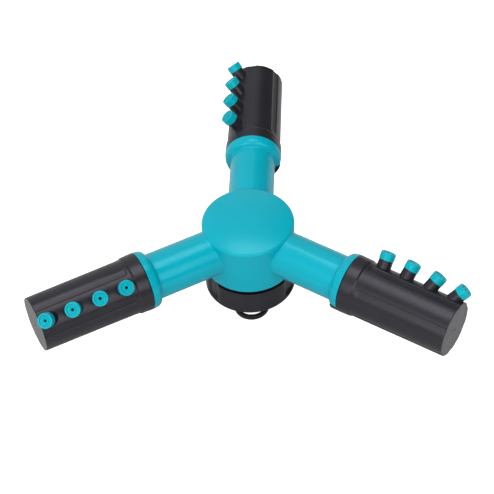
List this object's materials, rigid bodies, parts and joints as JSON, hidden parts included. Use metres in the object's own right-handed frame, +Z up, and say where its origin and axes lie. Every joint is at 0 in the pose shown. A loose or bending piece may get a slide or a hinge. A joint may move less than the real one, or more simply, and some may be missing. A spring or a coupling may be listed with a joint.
{
  "type": "rotary sprinkler head",
  "caption": "Water-driven sprinkler head: a domed hub carries radial arms with turning sleeves and leaning jet nozzles, over a swivel grip nut.",
  "frame": {"origin": "on the head's turning axis, in the plane of the foot ring's lower face", "axes": "+Z up along the turning axis; +Y out along the first arm; the other arms are at 210 and 330 degrees from +X"},
  "size_m": [0.2413, 0.2113, 0.0818],
  "materials": {
    "turquoise_plastic": "moulded, semi-gloss turquoise",
    "turquoise_nozzle": "moulded, satin turquoise",
    "black_plastic": "moulded, satin black",
    "white_plastic": "machined, natural white",
    "rubber": "matt black"
  },
  "bodies": {
    "stem": {"inlet_stem": "black_plastic", "thrust_washer": "white_plastic"},
    "nut": {"coupling_nut": "black_plastic", "nut_washer": "rubber"},
    "rotor": {"rotor_hub": "turquoise_plastic", "bearing_ring": "black_plastic", "shaft_seal": "rubber", "arm_seal_1": "rubber", "arm_seal_2": "rubber", "arm_seal_3": "rubber"},
    "arm_1": {"sleeve_1": "black_plastic", "nozzle_1_1": "turquoise_nozzle", "nozzle_1_2": "turquoise_nozzle", "nozzle_1_3": "turquoise_nozzle", "nozzle_1_4": "turquoise_nozzle"},
    "arm_2": {"sleeve_2": "black_plastic", "nozzle_2_1": "turquoise_nozzle", "nozzle_2_2": "turquoise_nozzle", "nozzle_2_3": "turquoise_nozzle", "nozzle_2_4": "turquoise_nozzle"},
    "arm_3": {"sleeve_3": "black_plastic", "nozzle_3_1": "turquoise_nozzle", "nozzle_3_2": "turquoise_nozzle", "nozzle_3_3": "turquoise_nozzle", "nozzle_3_4": "turquoise_nozzle"}
  },
  "joints": [
    {"name": "nut_swivel", "type": "hinge", "parent": "stem", "child": "nut", "pos_m": [0, 0, 0.0334], "axis": [0, 0, 1], "continuous": true},
    {"name": "head_spin", "type": "hinge", "parent": "stem", "child": "rotor", "pos_m": [0, 0, 0.0603], "axis": [0, 0, 1], "continuous": true},
    {"name": "sleeve_1_turn", "type": "hinge", "parent": "rotor", "child": "arm_1", "pos_m": [0, 0.0984, 0.0603], "axis": [0, 1, 0], "range_deg": [0, 45]},
    {"name": "sleeve_2_turn", "type": "hinge", "parent": "rotor", "child": "arm_2", "pos_m": [-0.08522, -0.0492, 0.0603], "axis": [-0.866, -0.5, 0], "range_deg": [0, 45]},
    {"name": "sleeve_3_turn", "type": "hinge", "parent": "rotor", "child": "arm_3", "pos_m": [0.08522, -0.0492, 0.0603], "axis": [0.866, -0.5, 0], "range_deg": [0, 45]}
  ]
}
